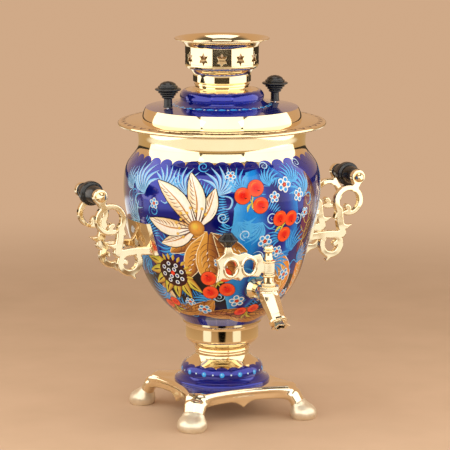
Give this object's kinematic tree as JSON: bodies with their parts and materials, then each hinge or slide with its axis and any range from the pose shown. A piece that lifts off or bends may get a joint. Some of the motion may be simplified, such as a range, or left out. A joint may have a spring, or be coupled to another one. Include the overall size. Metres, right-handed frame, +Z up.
{
  "type": "electric samovar",
  "caption": "Vase-shaped electric samovar on a footed stand, with a lever tap, scroll handles, a lift-off lid and a pierced crown that holds a teapot.",
  "frame": {"origin": "on the axis of the tank, on the surface the feet stand on", "axes": "+Z up along the tank, -Y towards the spout, +X towards the right handle seen from the tap"},
  "size_m": [0.306, 0.246, 0.3796],
  "materials": {
    "polished_brass": "mirror polished spun brass",
    "cast_brass": "polished cast brass",
    "blue_lacquer": "gloss lacquer over brass",
    "black_plastic": "semi-gloss turned",
    "plated_steel": "zinc plated",
    "seal_rubber": "matte",
    "inlet_plastic": "moulded",
    "lead_insulation": "silicone sleeve"
  },
  "bodies": {
    "stand_and_tank": {"foot_base": "cast_brass", "base_cover": "plated_steel", "base_cover_screws": "plated_steel", "base_studs": "plated_steel", "stud_nuts": "plated_steel", "pedestal": "blue_lacquer", "base_cup": "polished_brass", "tank_floor": "polished_brass", "tank_shell": "blue_lacquer", "rim_plate": "polished_brass", "left_saddle": "cast_brass", "right_saddle": "cast_brass", "left_front_bracket": "cast_brass", "left_rear_bracket": "cast_brass", "right_front_bracket": "cast_brass", "right_rear_bracket": "cast_brass", "left_grip": "black_plastic", "right_grip": "black_plastic", "left_grip_rod": "plated_steel", "right_grip_rod": "plated_steel", "left_grip_caps": "polished_brass", "right_grip_caps": "polished_brass", "saddle_screws": "plated_steel", "saddle_nuts": "plated_steel", "tap_escutcheon": "polished_brass", "tap_body": "cast_brass", "tap_gasket": "seal_rubber", "tap_locknut": "polished_brass", "heating_element": "plated_steel", "heater_gaskets": "seal_rubber", "heater_nuts": "polished_brass", "thermal_cutout": "inlet_plastic", "earth_screw": "plated_steel", "inlet_shell": "polished_brass", "inlet_insert": "inlet_plastic", "inlet_pins": "plated_steel", "earth_pin": "plated_steel", "live_lead": "lead_insulation", "neutral_lead": "lead_insulation", "bridge_lead": "lead_insulation", "earth_lead": "lead_insulation"},
    "tap_key": {"tap_plug": "polished_brass", "tap_handle": "cast_brass", "tap_knob": "black_plastic"},
    "lid_set": {"lid": "blue_lacquer", "left_lid_knob": "black_plastic", "right_lid_knob": "black_plastic", "lid_knob_screws": "plated_steel"},
    "crown_set": {"crown": "polished_brass"}
  },
  "joints": [
    {"name": "tap_turn", "type": "hinge", "parent": "stand_and_tank", "child": "tap_key", "pos_m": [0, -0.106, 0.149], "axis": [0, 0, 1], "range_deg": [0, 180]},
    {"name": "lid_lift", "type": "slide", "parent": "stand_and_tank", "child": "lid_set", "axis": [0, 0, 1], "range_m": [0, 0.12]},
    {"name": "crown_lift", "type": "slide", "parent": "lid_set", "child": "crown_set", "axis": [0, 0, 1], "range_m": [0, 0.08]}
  ]
}
